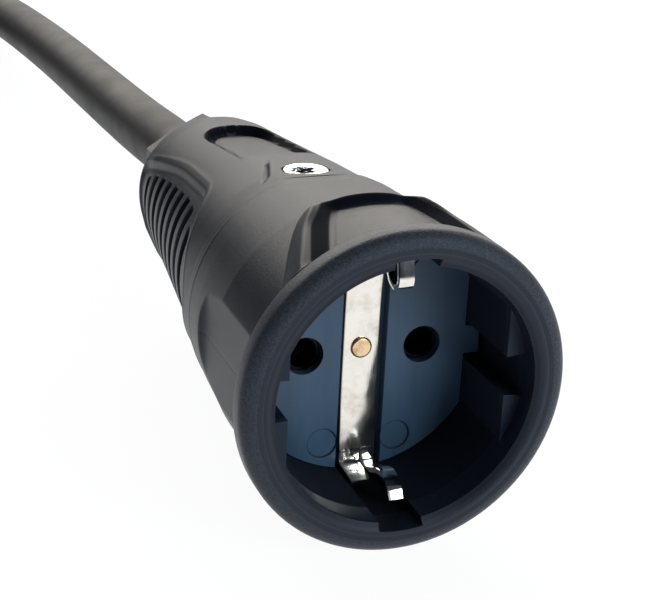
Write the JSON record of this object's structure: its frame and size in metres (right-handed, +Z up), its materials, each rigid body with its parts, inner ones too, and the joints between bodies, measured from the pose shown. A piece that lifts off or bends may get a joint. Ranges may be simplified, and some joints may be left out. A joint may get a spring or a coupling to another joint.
{
  "type": "power cable",
  "caption": "Heavy rubber power cable with a round in-line earthed socket at one end, lying on its rim, and a matching plug on a coiled cord.",
  "frame": {"origin": "on the surface under the middle of the socket connector, which lies on its flange", "axes": "+Y from the open mouth along the socket towards its cord, +X to the right seen from the mouth, +Z up"},
  "size_m": [0.172, 0.4487, 0.05],
  "materials": {
    "black_shell": "fine satin texture",
    "insert_slate": "smooth satin",
    "nickel": "bright nickel plate",
    "copper_rivet": "coppery, pressed",
    "brass": "turned brass",
    "zinc_screw": "blue zinc plate",
    "nut_black": "satin",
    "cord_rubber": "matt rubber sheath",
    "seal_rubber": "soft rubber",
    "clamp_grey": "plain moulded",
    "core_brown": "smooth insulation",
    "core_blue": "smooth insulation",
    "core_green": "smooth insulation",
    "tie_fabric": "woven strap"
  },
  "bodies": {
    "root": {"front_shell": "black_shell", "rear_shell": "black_shell", "housing_screw": "zinc_screw", "contact_carrier": "insert_slate", "earth_strap": "nickel", "earth_rivet": "copper_rivet", "earth_terminal": "brass", "line_contact_left": "brass", "line_contact_right": "brass", "terminal_screws": "zinc_screw", "core_brown": "core_brown", "core_blue": "core_blue", "core_earth": "core_green", "sheath_end": "cord_rubber", "cord_clamp": "clamp_grey", "clamp_screws": "zinc_screw", "seal_bush": "seal_rubber", "gland_nut": "nut_black", "cord": "cord_rubber", "cord_coil": "cord_rubber", "coil_tie": "tie_fabric", "cord_tail": "cord_rubber", "plug_shell": "black_shell", "plug_face": "insert_slate", "plug_pin_left": "nickel", "plug_pin_right": "nickel", "plug_earth_clips": "nickel", "plug_sheath": "cord_rubber", "plug_seal_bush": "seal_rubber", "plug_gland_nut": "nut_black"}
  },
  "joints": []
}
